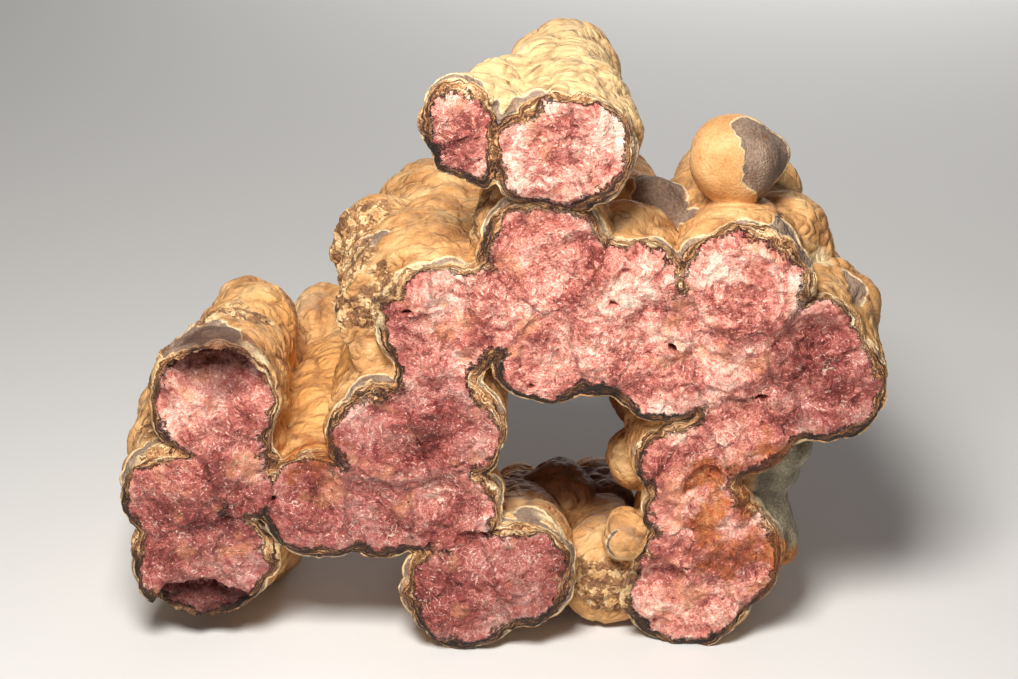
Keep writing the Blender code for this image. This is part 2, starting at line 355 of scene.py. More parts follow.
def mixed_cells(cells, seed):
    a, b, c = (cells[..., i].astype(np.int64) for i in range(3))
    return (a * 73856093) ^ (b * 19349663) ^ (c * 83492791) ^ (seed * 40503)


def next_number(mixed, step):
    """The next of a cell's numbers, and what the one after it is made from."""
    mixed = (mixed * step + 374761393) & 0xFFFFFFFF
    mixed ^= mixed >> 15
    return mixed / 0x100000000, mixed


def cell_noise(cells, seed):
    """Three numbers from 0 to 1 for each whole-number cell, always the same for a seed."""
    mixed = mixed_cells(cells, seed)
    numbers = []
    for step in (2654435761, 2246822519, 3266489917):
        number, mixed = next_number(mixed, step)
        numbers.append(number)
    return np.stack(numbers, axis=-1)


def uneven(points, size, seed, octaves=2):
    """A smooth uneven value, mostly from -1 to 1, at each point, with swells of this size."""
    total = np.zeros(len(points))
    for octave in range(octaves):
        place = points / size * 2 ** octave + 31.7 * (octave + 1)
        base = np.floor(place)
        part = place - base
        part = part * part * (3 - 2 * part)
        for corner in np.ndindex(2, 2, 2):
            weight = np.prod(np.where(corner, part, 1 - part), axis=1)
            value, _ = next_number(mixed_cells(base + corner, seed + octave), 2654435761)
            total += weight * (value - 0.5) * 2.6 / 2 ** octave
    return total


def uneven_vectors(points, size, seed):
    return np.column_stack([uneven(points, size, seed + i * 10) for i in range(3)])


def scattered(points, seed, steps_y=(-1, 0, 1)):
    """For each point, of the seeds scattered one to a unit cell: the distance to the
    nearest, the distance to the border with the next, and the nearest's place and cell."""
    base = np.floor(points)
    nearest = np.full(len(points), np.inf)
    second = np.full(len(points), np.inf)
    place = np.zeros_like(points)
    other = np.zeros_like(points)
    cell = np.zeros_like(points)
    steps = (-1, 0, 1)
    for step in ((i, j, k) for i in steps for j in steps_y for k in steps):
        near = base + step
        spot = near + cell_noise(near, seed)
        away = np.sum((points - spot) ** 2, axis=1)
        closer = away < nearest
        next_closer = ~closer & (away < second)
        other = np.where(closer[:, None], place, np.where(next_closer[:, None], spot, other))
        second = np.where(closer, nearest, np.where(next_closer, away, second))
        nearest[closer] = away[closer]
        place[closer] = spot[closer]
        cell[closer] = near[closer]
    between = np.maximum(np.linalg.norm(place - other, axis=1), 1e-6)
    return np.sqrt(nearest), (second - nearest) / (2 * between), place, cell


def fade(value, low, high):
    """0 where value is under low, 1 where it is over high, and smooth between."""
    part = np.clip((value - low) / (high - low), 0, 1)
    return part * part * (3 - 2 * part)


def middle_and_radius(s, t):
    """A stalactite's middle and radius at t, from 0 at the break to 1 before its tip."""
    sway_x = np.sin(6 * t + s.z) - np.sin(s.z)
    sway_z = np.sin(5 * t + s.x) - np.sin(s.x)
    swelling = 1 + SWELL * (np.sin(9 * t + s.x + s.z) - np.sin(s.x + s.z))
    x = s.x + s.drift_x * t + WANDER * sway_x * t
    z = s.z + s.drift_z * t + WANDER * sway_z * t
    radius = (s.radius + (s.tip - s.radius) * t ** 2) * swelling
    return x, z, radius


def outside_stalactite(stalactite, x, y, z):
    """How far each point lies outside a stalactite, less than 0 inside, with the parts
    of its offset from the middle line."""
    t = np.clip((y - stalactite.front) / stalactite.length, 0, 1)
    middle_x, middle_z, radius = middle_and_radius(stalactite, t)
    past = np.maximum(y - stalactite.front - stalactite.length, 0)
    off_x = x - middle_x
    off_z = z - middle_z
    return np.sqrt(off_x ** 2 + past ** 2 + off_z ** 2) - radius, off_x, past, off_z


def smooth_min(a, b, width):
    h = np.clip(0.5 + 0.5 * (b - a) / width, 0, 1)
    return b + (a - b) * h - width * h * (1 - h)


def from_grid(grid, place):
    """The values of a grid at places given in its steps, from the points around each."""
    base = np.clip(place.astype(int), 0, np.array(grid.shape) - 2)
    part = np.clip(place - base, 0, 1)
    total = 0
    for corner in np.ndindex(*[2] * grid.ndim):
        weight = np.prod(np.where(corner, part, 1 - part), axis=1)
        total = total + weight * grid[tuple((base + corner).T)]
    return total


class Field:
    """A value at each point of a grid over the stone."""

    def __init__(self):
        self.axes = [np.arange(LOW[i], HIGH[i], CELL, dtype=np.float32) for i in range(3)]
        self.values = np.full([len(axis) for axis in self.axes], FAR, dtype=np.float32)

    def box(self, low, high):
        """The part of the grid between two corners, and its coordinates."""
        spans = []
        for axis, a, b in zip(self.axes, low, high):
            spans.append(slice(int(np.searchsorted(axis, a)), int(np.searchsorted(axis, b))))
        x, y, z = (axis[span] for axis, span in zip(self.axes, spans))
        return tuple(spans), x[:, None, None], y[None, :, None], z[None, None, :]

    def join(self, span, outside):
        """Adds a body, given by how far a part of the grid lies outside it."""
        self.values[span] = smooth_min(self.values[span], outside, BLEND)

    def at(self, points):
        """The values at any points."""
        return from_grid(self.values, (points - LOW) / CELL)


def stone_fields():
    """Three fields of how far each point lies outside the stone: all of it as it was before
    it broke, the parts that the break went through, and the parts that it missed."""
    grown = Field()
    cored = Field()
    missed = Field()
    for name, s in STALACTITES.items():
        reach = s.radius + FAR + 2 * WANDER
        low_x, high_x = sorted((s.x, s.x + s.drift_x))
        low_z, high_z = sorted((s.z, s.z + s.drift_z))
        back = s.front + s.length + reach
        box = ((low_x - reach, LOW[1], low_z - reach), (high_x + reach, back, high_z + reach))
        span, x, y, z = grown.box(*box)
        outside = outside_stalactite(s, x, y, z)[0]
        if name in ENDS_IN_SKIN:
            outside = np.maximum(outside, s.front - y)
            missed.join(span, outside)
        else:
            cored.join(span, outside)
        grown.join(span, outside)
    for knob in KNOBS.values():
        middle = np.array((knob.x, knob.y, knob.z))
        reach = knob.radius + FAR
        span, x, y, z = grown.box(middle - reach, middle + reach)
        outside = np.sqrt((x - knob.x) ** 2 + (y - knob.y) ** 2 + (z - knob.z) ** 2) - knob.radius
        grown.join(span, outside)
        missed.join(span, outside)
    return grown, cored, missed


def growth(points):
    """The offset of each point from the middle of the growth that it belongs to, and a
    number from 0 to 1 that is the growth's own."""
    bent = points + BEND * uneven_vectors(points, 11, 21)
    x, y, z = bent.T
    least = np.full(len(points), np.inf)
    offset = np.zeros_like(points)
    own = np.zeros(len(points))
    for number, s in enumerate([*STALACTITES.values(), *STRANDS.values()]):
        if isinstance(s, Stalactite):
            outside, off_x, past, off_z = outside_stalactite(s, x, y, z)
        else:
            off_x, past, off_z = x - s.x, np.zeros(len(x)), z - s.z
            outside = np.hypot(off_x, off_z) - s.reach
        closer = outside < least
        least[closer] = outside[closer]
        offset[closer] = np.column_stack((off_x, past, off_z))[closer]
        own[closer] = (number * 0.618) % 1
    return offset, own


def facets(points, size, tilt, step, seed):
    """A relief of flat facets of about this size, each with its own tilt and height, for
    points of the break."""
    _, _, place, cell = scattered(points / size, seed, steps_y=(0,))
    own = cell_noise(cell, seed + 1) - 0.5
    slope = np.sum((points / size - place)[:, [0, 2]] * own[:, :2], axis=1)
    return 2 * tilt * size * slope + 2 * step * own[:, 2]


def splinters(offset, own, turns, length, tilt, seed):
    """A relief of facets that lie along the fibres, out from the middle of a growth."""
    distance = np.linalg.norm(offset, axis=1)
    around = turns * offset / np.maximum(distance, 0.5)[:, None]
    where = np.column_stack((around[:, 0] + 40 * own, distance / length, around[:, 2]))
    _, _, place, cell = scattered(where, seed)
    lean = cell_noise(cell, seed + 1) - 0.5
    slope = np.sum((where - place) * lean, axis=1)
    return tilt * (2 * slope + lean[:, 0])


def hollows(points):
    """How far the break lies back in its hollows, in mm. They go in steeply under their
    upper edge, and slope out below."""
    bent = points + 1.4 * uneven_vectors(points, 7, 44)
    depth = np.zeros(len(points))
    for h in HOLLOWS.values():
        across = (bent[:, 0] - h.x) / h.half_width
        up = (bent[:, 2] - h.z) / h.half_height
        inside = np.clip(1 - across ** 2 - up ** 2, 0, 1)
        depth = np.maximum(depth, h.depth * (0.7 + 0.7 * up) * inside ** 0.25)
    return depth


def vugs(points):
    """How far the break lies back in its small pits, in mm."""
    depth = np.zeros(len(points))
    bent = points + 0.8 * uneven_vectors(points, 2.5, 45)
    for v in VUGS.values():
        turn = np.radians(v.turn)
        x = bent[:, 0] - v.x
        z = bent[:, 2] - v.z
        across = (x * np.cos(turn) + z * np.sin(turn)) / v.half_width
        up = (z * np.cos(turn) - x * np.sin(turn)) / v.half_height
        inside = 1.4 - np.abs(across) - np.abs(up)
        depth = np.maximum(depth, v.depth * fade(inside, 0, VUG_SLOPE))
    return depth


def off_seams(points):
    """How far each point is from the nearest seam, past its half width, in mm."""
    bent = points + 1.3 * uneven_vectors(points, 6, 43)
    least = np.full(len(points), FAR)
    for s in SEAMS.values():
        way = np.array((s.end_x - s.x, s.end_z - s.z))
        off = bent[:, [0, 2]] - (s.x, s.z)
        t = np.clip(off @ way / (way @ way), 0, 1)
        away = np.linalg.norm(off - t[:, None] * way, axis=1)
        least = np.minimum(least, away - s.half_width)
    return least


def terraces(depth, rise):
    """A height with its slope gathered into steps of one rise."""
    layers = depth / rise
    whole = np.floor(layers)
    return rise * (whole + fade(layers - whole, 0.45, 1))


def blurred(sheet, times):
    """A sheet of values with its fine detail averaged away."""
    for _ in range(times):
        padded = np.pad(sheet, 1, mode="edge")
        across = padded[:-2] + 2 * padded[1:-1] + padded[2:]
        sheet = (across[:, :-2] + 2 * across[:, 1:-1] + across[:, 2:]) / 16
    return sheet


class Break:
    """The broken face: how far back it lies at each x and z of the grid, in mm."""

    def __init__(self, field):
        x, z = np.meshgrid(field.axes[0], field.axes[2], indexing="ij")
        points = np.column_stack((x.ravel(), np.zeros(x.size), z.ravel())).astype(float)
        depth = -field.at(points)
        slope_x, slope_z = np.gradient(depth.reshape(x.shape), CELL)
        facing_up = -blurred(slope_z, 4)
        facing_right = -blurred(slope_x, 4)
        core = fade(depth, 2.0, 4.5)
        offset, own = growth(points)
        distance = np.linalg.norm(offset, axis=1)
        coarse, middling, fine = (facets(points, *facet) for facet in FACETS.values())
        long = splinters(offset, own, 2.6, 6.0, 0.36, 41)
        turn = 2 * np.pi * (distance / RING + own * 5) + 1.5 * uneven(points, 5, 38)
        ring = RING_HEIGHT * np.sin(turn)
        broad = coarse + 1.5 * uneven(points, 22, 37) + 0.3 * uneven(points, 9, 39)
        broad = blurred(broad.reshape(x.shape), 7).ravel()
        relief = self.level(points) + 0.25 * core * terraces(broad, STEP) + 0.75 * broad
        relief += core * (middling + long + ring + fine)
        relief += self.worn_rim(points, depth, facing_up.ravel())
        relief += hollows(points) + vugs(points)
        relief += SEAM_DEPTH * (1 - fade(off_seams(points), -0.5, 1.5))
        self.sheet = relief.reshape(x.shape)
        self.proud = blurred(self.sheet, 12) - self.sheet
        self.up = facing_up
        self.right = facing_right

    def level(self, points):
        """The height of the break, from the fronts of the stalactites nearby."""
        total = np.zeros(len(points))
        weights = np.full(len(points), 1e-6)
        for name, s in STALACTITES.items():
            if name not in ENDS_IN_SKIN:
                outside = np.hypot(points[:, 0] - s.x, points[:, 2] - s.z) - s.radius
                weight = np.exp(-np.clip(outside, -30, 30) / 3)
                total += weight * s.front
                weights += weight
        return total / weights

    def worn_rim(self, points, depth, facing_up):
        """The rim is worn back in steps, further where it faces up."""
        worn = spots_mask(points, WORN_SPOTS, 2.0, 46, soft=6)
        ragged = depth + 0.8 * uneven(points, 4, 47) + 0.3 * uneven(points, 1.6, 48)
        layered = terraces(np.maximum(ragged, 0), LAYER)
        left = 1 - np.clip(layered / (CHAMFER * (1 + 1.2 * worn)), 0, 1)
        back = 1.0 + 1.8 * fade(facing_up, -0.3, 0.9) + 1.8 * uneven(points, 14, 49)
        return np.maximum(back + 3.0 * worn, 0.2) * left ** 1.3

    def at(self, points, sheet):
        """The value of one of its sheets at any points."""
        return from_grid(sheet, (points - LOW)[:, [0, 2]] / CELL)


def surface_net(values):
    """The closed surface where a field of values passes through 0, as points in grid
    steps and four-sided faces."""
    inside = values < 0
    mixed = np.zeros(tuple(n - 1 for n in values.shape), dtype=np.uint8)
    for corner in np.ndindex(2, 2, 2):
        span = tuple(slice(c, c + n) for c, n in zip(corner, mixed.shape))
        mixed += inside[span]
    cells = np.argwhere((mixed > 0) & (mixed < 8))
    index = np.full(mixed.shape, -1, dtype=np.int32)
    index[tuple(cells.T)] = np.arange(len(cells))
    total = np.zeros((len(cells), 3))
    crossings = np.zeros(len(cells))
    for axis in range(3):
        for corner in np.ndindex(2, 2, 2):
            if corner[axis]:
                continue
            start = np.array(corner)
            end = start.copy()
            end[axis] = 1
            a = values[tuple((cells + start).T)]
            b = values[tuple((cells + end).T)]
            crossed = (a < 0) != (b < 0)
            part = np.where(crossed, a / np.where(crossed, a - b, 1), 0)
            total += crossed[:, None] * (start + part[:, None] * (end - start))
            crossings += crossed
    points = cells + total / crossings[:, None]
    faces = []
    for axis in range(3):
        one, two = [i for i in range(3) if i != axis]
        first = [slice(1, -1)] * 3
        first[axis] = slice(0, -1)
        last = list(first)
        last[axis] = slice(1, None)
        a = inside[tuple(first)]
        b = inside[tuple(last)]
        for crossed, turned in ((a & ~b, axis == 1), (~a & b, axis != 1)):
            edges = np.argwhere(crossed)
            for other in (one, two):
                edges[:, other] += 1
            ring = []
            for step_one, step_two in ((-1, -1), (0, -1), (0, 0), (-1, 0)):
                cell = edges.copy()
                cell[:, one] += step_one
                cell[:, two] += step_two
                ring.append(index[tuple(cell.T)])
            quads = np.column_stack(ring)
            faces.append(quads[:, ::-1] if turned else quads)
    return points, np.concatenate(faces)


def spots_mask(points, spots, raggedness, seed, soft=0.6):
    """1 inside the spots and 0 outside, with ragged edges."""
    inside = np.full(len(points), -np.inf)
    for spot in spots.values():
        away = np.linalg.norm(points - (spot.x, spot.y, spot.z), axis=1)
        inside = np.maximum(inside, spot.radius - away)
    mask = np.zeros(len(points))
    near = inside > -2.5 * raggedness - soft
    ragged = raggedness * uneven(points[near], 9, seed, octaves=3)
    mask[near] = fade(inside[near] + ragged, -soft, soft)
    return mask


class Skin:
    """The relief of the skin at points, in mm, and where its creases and ripples run."""

    def __init__(self, points):
        away, border, _, cell = scattered(points / LUMP_SIZE, LUMP_SEED)
        size = 0.55 + 0.45 * cell_noise(cell, LUMP_SEED + 1)[:, 0]
        lumps = LUMP_HEIGHT * size * (1 - np.minimum(away / 0.8, 1) ** 2)
        bent = points + 1.5 * uneven_vectors(points, 8, 51)
        smooth = np.zeros(len(points))
        for spot in SMOOTH_SPOTS.values():
            reached = np.linalg.norm(points - (spot.x, spot.y, spot.z), axis=1)
            smooth = np.maximum(smooth, 1 - fade(reached, spot.radius, spot.radius + 4))
        knobbly = (1 - smooth) * (0.35 + 0.65 * fade(uneven(points, 22, 57), -0.5, 0.3))
        near, edge, _, _ = scattered(bent / PILLOW_SIZE, 55)
        pillows = PILLOW_HEIGHT * knobbly * (0.55 - near ** 2)
        along = points[:, 1] + 3.5 * uneven(points, 17, 58) + 0.8 * uneven(points, 5, 59)
        self.phase = along / RIPPLE
        part = self.phase - np.floor(self.phase)
        self.rippled = (1 - smooth) * fade(uneven(points, 20, 60), -0.2, 0.4)
        ripples = RIPPLE_HEIGHT * self.rippled * part * (1 - fade(part, 0.82, 1))
        groove = 0.45 * np.exp(-border * LUMP_SIZE.mean() / 0.7)
        self.relief = lumps * (1 - 0.6 * smooth) + pillows + ripples - groove * (1 - smooth)
        self.border = np.minimum(border * LUMP_SIZE.mean(), 4) + 4 * smooth
        self.edge = np.minimum(edge * PILLOW_SIZE.mean(), 4) + 4 * (1 - knobbly)


def outward(field, points):
    """The direction straight out of the stone at each point."""
    step = 1.2
    slopes = []
    for axis in np.eye(3):
        slopes.append(field.at(points + step * axis) - field.at(points - step * axis))
    slope = np.column_stack(slopes)
    return slope / np.maximum(np.linalg.norm(slope, axis=1), 1e-6)[:, None]


def spread(values, chosen, empty=0.0):
    """Values of the chosen points, put in their places among all the points."""
    full = np.full((len(chosen), *values.shape[1:]), empty)
    full[chosen] = values
    return full


def stone_shape():
    """The stone's points in mm, its faces, and what its colours depend on."""
    grown, cored, missed = stone_fields()
    broken = Break(cored)
    behind_break = (broken.sheet[:, None, :] - grown.axes[1][None, :, None]).astype(np.float32)
    whole_behind = np.maximum(grown.values, behind_break)
    steps, faces = surface_net(np.minimum(whole_behind, missed.values))
    points = LOW + steps * CELL
    depth = np.maximum(-cored.at(points), 0)
    behind = points[:, 1] - broken.at(points, broken.sheet)
    on_break = (depth > 0.3) & (np.abs(behind) < 2)
    seam = np.maximum(0.9 + 1.5 * off_seams(points[on_break]), 0.9)
    depth[on_break] = np.minimum(depth[on_break], seam)
    facing_up = broken.at(points, broken.up)
    width = 0.3 + 0.9 * fade(facing_up, -0.2, 0.8) + 2.6 * uneven(points, 13, 61, octaves=3)
    rim = fade(width - behind, -0.3, 0.3) * (behind > -1)
    bare = np.maximum(rim, spots_mask(points, BARE_SPOTS, 3.0, 63))
    crust = spots_mask(points, CRUST_SPOTS, 4.0, 65)
    shallow = depth < DEEPEST
    outer = points[shallow]
    _, _, _, plate = scattered(outer / (2.6, 5.0, 2.2), 67)
    plates = cell_noise(plate, 68)[:, 0] - 0.5
    skin = Skin(outer)
    relief = skin.relief + crust[shallow] * 1.3 * plates - bare[shallow] * FLAKE
    under = np.exp(-depth[shallow] / REACH)
    points[shallow] = outer + outward(grown, outer) * (relief * under)[:, None]
    inner = depth > CORE
    offset, own = growth(points[inner])
    traits = {
        "depth": depth,
        "border": spread(skin.border, shallow, empty=4),
        "edge": spread(skin.edge, shallow, empty=4),
        "phase": spread(skin.phase, shallow),
        "rippled": spread(skin.rippled, shallow),
        "bare": bare,
        "cream": spots_mask(points, CREAM_SPOTS, 2.5, 69, soft=0.8),
        "crust": crust,
        "stain": spots_mask(points, STAIN_SPOTS, 6.0, 71, soft=10),
        "slab": spots_mask(points, SLAB_SPOTS, 2.0, 73),
        "pale": spots_mask(points, PALE_SPOTS, 4.0, 75, soft=12),
        "orange_bounce": spots_mask(points, ORANGE_BOUNCE_SPOTS, 4.0, 76, soft=12),
        "dusky_and_shade": spots_mask(points, DUSKY_AND_SHADE_SPOTS, 6.0, 77, soft=12),
        # The trait deep holds the painted shade spots, not a depth.
        "deep": spots_mask(points, PAINTED_SHADE_SPOTS, 3.0, 78, soft=5),
        "proud": broken.at(points, broken.proud) * fade(depth, 1.5, 3.5),
        "up": facing_up,
        "right": broken.at(points, broken.right),
        "own": spread(own, inner),
    }
    return points, faces, traits, spread(offset, inner)


def stone_object(low, high):
    """The stone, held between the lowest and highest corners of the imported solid."""
    points, faces, traits, offset = stone_shape()
    mesh = bpy.data.meshes.new("rhodochrosite")
    mesh.vertices.add(len(points))
    mesh.loops.add(faces.size)
    mesh.polygons.add(len(faces))
    placed = (points - (MIDDLE_X, MIDDLE_Y, 0)) * MM
    mesh.vertices.foreach_set("co", placed.astype(np.float32).ravel())
    mesh.loops.foreach_set("vertex_index", faces.astype(np.int32).ravel())
    mesh.polygons.foreach_set("loop_start", np.arange(0, faces.size, 4, dtype=np.int32))
    mesh.update(calc_edges=True)
    for name, values in traits.items():
        attribute = mesh.attributes.new(name, "FLOAT", "POINT")
        attribute.data.foreach_set("value", values.astype(np.float32))
    spokes = mesh.attributes.new("spokes", "FLOAT_VECTOR", "POINT")
    spokes.data.foreach_set("vector", offset.astype(np.float32).ravel())
    stone = bpy.data.objects.new("rhodochrosite_stone", mesh)
    bpy.context.scene.collection.objects.link(stone)
    decimate = stone.modifiers.new("Decimate", "DECIMATE")
    decimate.ratio = TRIANGLES / (2 * len(faces))
    graph = bpy.context.evaluated_depsgraph_get()
    stone.data = bpy.data.meshes.new_from_object(stone.evaluated_get(graph))
    stone.modifiers.clear()
    corners = np.empty(3 * len(stone.data.vertices), np.float32)
    stone.data.vertices.foreach_get("co", corners)
    corners = np.clip(corners.reshape(-1, 3), low, high)
    stone.data.vertices.foreach_set("co", corners.astype(np.float32).ravel())
    stone.data.shade_smooth()
    stone.data.set_sharp_from_angle(angle=np.radians(SHARP))
    return stone


def colour(red, green, blue):
    """A colour given as it looks on a screen, from 0 to 255, as light."""
    shown = np.array((red, green, blue)) / 255
    light = np.where(shown <= 0.04045, shown / 12.92, ((shown + 0.055) / 1.055) ** 2.4)
    return (*light, 1)


class Recipe:
    """A material, with short ways to add the nodes it is made of."""

    def __init__(self, name):
        self.material = bpy.data.materials.new(name)
        self.material.use_nodes = True
        self.tree = self.material.node_tree
        self.shader = self.tree.nodes["Principled BSDF"]

    def put(self, socket, value):
        if isinstance(value, bpy.types.NodeSocket):
            self.tree.links.new(value, socket)
        else:
            socket.default_value = value

    def node(self, kind, inputs, **settings):
        made = self.tree.nodes.new(kind)
        for name, value in settings.items():
            setattr(made, name, value)
        for name, value in inputs.items():
            self.put(made.inputs[name], value)
        return made

    def trait(self, name, output="Fac"):
        return self.node("ShaderNodeAttribute", {}, attribute_name=name).outputs[output]

    def math(self, operation, *values):
        made = self.node("ShaderNodeMath", {}, operation=operation)
        for socket, value in zip(made.inputs, values):
            self.put(socket, value)
        return made.outputs[0]

    def add(self, *values):
        return reduce(lambda a, b: self.math("ADD", a, b), values)

    def times(self, *values):
        return reduce(lambda a, b: self.math("MULTIPLY", a, b), values)

    def less(self, value):
        """What is left of 1."""
        return self.math("SUBTRACT", 1.0, value)

    def vector(self, operation, a, b=None, scale=None):
        made = self.node("ShaderNodeVectorMath", {}, operation=operation)
        self.put(made.inputs[0], a)
        if b is not None:
            self.put(made.inputs[1], b)
        if scale is not None:
            self.put(made.inputs["Scale"], scale)
        return made.outputs["Value"] if operation in ("DOT_PRODUCT", "LENGTH") else made.outputs[0]

    def join(self, x, y, z):
        return self.node("ShaderNodeCombineXYZ", {"X": x, "Y": y, "Z": z}).outputs[0]

    def noise(self, where, size, amount=1.0, detail=1.0, rough=0.55, fourth=None):
        """An uneven value around 0, mostly to half of the amount either way, with swells of
        this size. A fourth coordinate, where there is one, changes it as fast as the place
        does."""
        inputs = {"Vector": where, "Scale": 1 / size, "Detail": detail, "Roughness": rough}
        settings = {}
        if fourth is not None:
            inputs["W"] = self.times(fourth, float(size))
            settings["noise_dimensions"] = "4D"
        value = self.node("ShaderNodeTexNoise", inputs, **settings).outputs["Fac"]
        return self.math("MULTIPLY_ADD", value, 2.0 * amount, -amount)

    def line(self, value, width):
        """1 where a value passes through 0, and 0 beside that."""
        return self.fade(self.math("ABSOLUTE", value), width, 0.0)

    def around_0(self, shades):
        """A colour as a direction, each part of it from -0.5 to 0.5."""
        return self.vector("SUBTRACT", shades, (0.5, 0.5, 0.5))

    def bent(self, where, size, amount):
        """The place, moved by this amount, in mm, in swells of this size."""
        inputs = {"Vector": where, "Scale": 1 / size, "Detail": 0.0}
        shades = self.node("ShaderNodeTexNoise", inputs).outputs["Color"]
        away = self.vector("SCALE", self.around_0(shades), scale=2 * amount)
        return self.vector("ADD", where, away)

    def cells(self, where, size):
        """The crystals that a place is made up of, and a number from -0.5 to 0.5 that is
        each one's own."""
        made = self.node("ShaderNodeTexVoronoi", {"Vector": where, "Scale": 1 / size})
        shade = self.node("ShaderNodeSeparateColor", {"Color": made.outputs["Color"]})
        return made, self.add(shade.outputs["Red"], -0.5)

    def blend(self, part, a, b):
        """a where part is 0 and b where it is 1."""
        return self.math("MULTIPLY_ADD", part, self.math("SUBTRACT", b, a), a)

    def fade(self, value, low, high):
        """0 where value is under low, 1 where it is over high, and smooth between."""
        inputs = {"Value": value, "From Min": low, "From Max": high}
        made = self.node("ShaderNodeMapRange", inputs, interpolation_type="SMOOTHSTEP")
        return made.outputs["Result"]

    def ramp(self, value, stops):
        """Colours as they look on a screen, each at its place from 0 to 1."""
        made = self.node("ShaderNodeValToRGB", {"Fac": value})
        elements = made.color_ramp.elements
        while len(elements) < len(stops):
            elements.new(0.5)
        for element, (position, shade) in zip(elements, stops.items()):
            element.position = position
            element.color = colour(*shade)
        return made.outputs["Color"]

    def mix(self, part, a, b, blend="MIX"):
        made = self.node("ShaderNodeMix", {}, data_type="RGBA", blend_type=blend)
        self.put(made.inputs["Factor"], part)
        self.put(made.inputs[COLOUR_A], a)
        self.put(made.inputs[COLOUR_B], b)
        return made.outputs[COLOUR_RESULT]


def pink_core(r, where, deep):
    """The colour of the core, its facets' relief in mm, and a number from -0.5 to 0.5 that
    changes from small grain to small grain."""
    offset = r.trait("spokes", "Vector")
    warp = r.add(r.noise(where, 6, 1.6), r.noise(where, 1.8, 0.5))
    distance = r.add(r.vector("LENGTH", offset), warp)
    around = r.vector("SCALE", r.vector("NORMALIZE", offset), scale=FIBRE_COUNT)
    own = r.times(r.trait("own"), 60.0)
    along = r.join(own, r.times(distance, 1 / FIBRE_LENGTH), 0.0)
    streak = r.noise(r.vector("ADD", around, along), 1.0, detail=2.0, rough=0.65)
    rings = r.add(
        r.noise(r.join(r.times(distance, 1 / RING), own, 0.0), 1.0, 0.34),
        r.noise(r.join(r.times(distance, 1 / FINE_RING), own, 3.0), 1.0, 0.24),
    )
    torn = r.bent(where, 2.5, 0.7)
    small, small_own = r.cells(torn, SMALL_GRAIN)
    large, large_own = r.cells(torn, LARGE_GRAIN)
    lean = r.vector("NORMALIZE", r.around_0(large.outputs["Color"]))
    squeeze = r.times(r.vector("DOT_PRODUCT", where, lean), 0.84)
    long = r.vector("SUBTRACT", where, r.vector("SCALE", lean, scale=squeeze))
    splinter = r.noise(long, 0.7, detail=2.0, rough=0.6)
    rim = r.fade(deep, 9.0, 3.4)
    fibrous = r.fade(r.add(rim, r.noise(where, 12)), 0.1, 0.6)
    swell = r.noise(where, 19)
    grit = r.noise(where, 0.5)
    light = r.add(
        0.50,
        r.times(rings, r.fade(swell, -0.25, 0.15)),
        r.noise(where, 20, 0.80),
        r.noise(r.bent(where, 3, 1.8), 6.0, 0.36, detail=3.0, rough=0.65),
        r.times(streak, fibrous, 0.56),
        r.times(splinter, r.less(fibrous), 0.58),
        r.times(large_own, 0.18),
        r.times(small_own, 0.20),
        r.times(grit, 0.26),
        # Painted shade and highlight: the core is darker in the break's recesses and paler on its
        # ridges.
        r.times(r.trait("proud"), 0.08),
        r.times(rim, r.add(swell, 0.25), 0.12),
    )
    pink = r.ramp(light, {
        0.00: (126, 52, 44),
        0.20: (162, 81, 72),
        0.40: (198, 115, 103),
        0.58: (222, 146, 130),
        0.76: (240, 182, 165),
        1.00: (250, 216, 198),
    })
    # Partly painted shade: the pink turns a darker mauve where the dusky and shade spots lie.
    dusky_and_shade = r.times(r.trait("dusky_and_shade"), 0.95)
    pink = r.mix(dusky_and_shade, pink, colour(192, 158, 162), blend="MULTIPLY")
    crack = r.line(r.noise(r.bent(where, 5, 3.0), 4.0), 0.03)
    crack = r.times(crack, r.fade(r.noise(where, 10), -0.1, 0.2))
    speck = r.fade(splinter, 0.26, 0.38)
    pale = r.math("MAXIMUM", r.times(crack, 0.6), r.times(speck, 0.55))
    pink = r.mix(pale, pink, colour(254, 234, 212))
    fleck = r.fade(r.noise(where, 2.2, detail=2.0), 0.36, 0.54)
    pink = r.mix(r.times(fleck, 0.45), pink, colour(124, 46, 44))
    peach = r.fade(r.noise(where, 13, detail=2.0), 0.12, 0.42)
    pink = r.mix(r.times(peach, 0.40), pink, colour(224, 156, 108))
    middle = r.vector("SCALE", small.outputs["Position"], scale=SMALL_GRAIN)
    tilt = r.around_0(small.outputs["Color"])
    relief = r.add(
        r.times(r.vector("DOT_PRODUCT", tilt, r.vector("SUBTRACT", torn, middle)), 0.60),
        r.times(grit, 0.20),
        r.times(streak, 0.24),
    )
    return pink, relief, small_own


